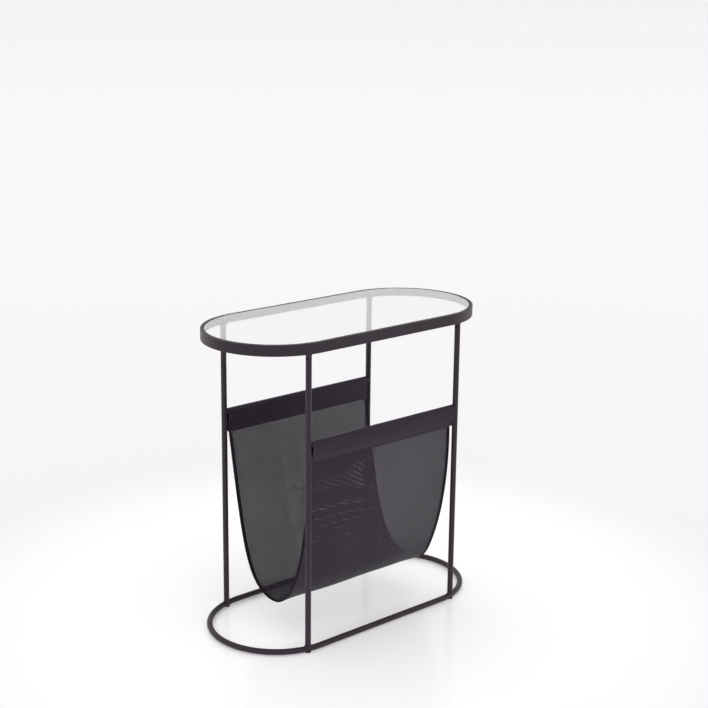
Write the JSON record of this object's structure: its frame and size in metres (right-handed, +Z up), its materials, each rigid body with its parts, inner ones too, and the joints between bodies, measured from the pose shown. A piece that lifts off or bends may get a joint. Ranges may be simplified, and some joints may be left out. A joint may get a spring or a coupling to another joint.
{
  "type": "side table",
  "caption": "Oval side table with a glass top in a flat steel band, straight round legs on a rod ring, and a hanging mesh magazine sling.",
  "frame": {"origin": "on the floor, under the middle of the table", "axes": "+X along the table's length, +Y from its front to its back, +Z up"},
  "size_m": [0.54, 0.25, 0.54],
  "materials": {
    "black_steel": "satin black powder coat",
    "clear_glass": "clear, polished edge",
    "clear_silicone": "clear",
    "black_plastic": "matt",
    "mesh_cloth": "fine open weave",
    "binding_tape": "woven tape"
  },
  "bodies": {
    "frame": {"top_rim": "black_steel", "rest_tab_front_left": "black_steel", "rest_tab_front_right": "black_steel", "rest_tab_back_left": "black_steel", "rest_tab_back_right": "black_steel", "bumper_front_left": "clear_silicone", "bumper_front_right": "clear_silicone", "bumper_back_left": "clear_silicone", "bumper_back_right": "clear_silicone", "leg_front_left": "black_steel", "leg_front_right": "black_steel", "leg_back_left": "black_steel", "leg_back_right": "black_steel", "base_ring": "black_steel", "floor_glide_front_left": "black_plastic", "floor_glide_front_right": "black_plastic", "floor_glide_back_left": "black_plastic", "floor_glide_back_right": "black_plastic", "sling_rod_front": "black_steel", "sling_rod_back": "black_steel", "sling_cloth": "mesh_cloth", "binding_left": "binding_tape", "binding_right": "binding_tape"},
    "glass": {"glass_top": "clear_glass"}
  },
  "joints": [
    {"name": "glass_lift", "type": "slide", "parent": "frame", "child": "glass", "axis": [0, 0, 1], "range_m": [0, 0.04]}
  ]
}
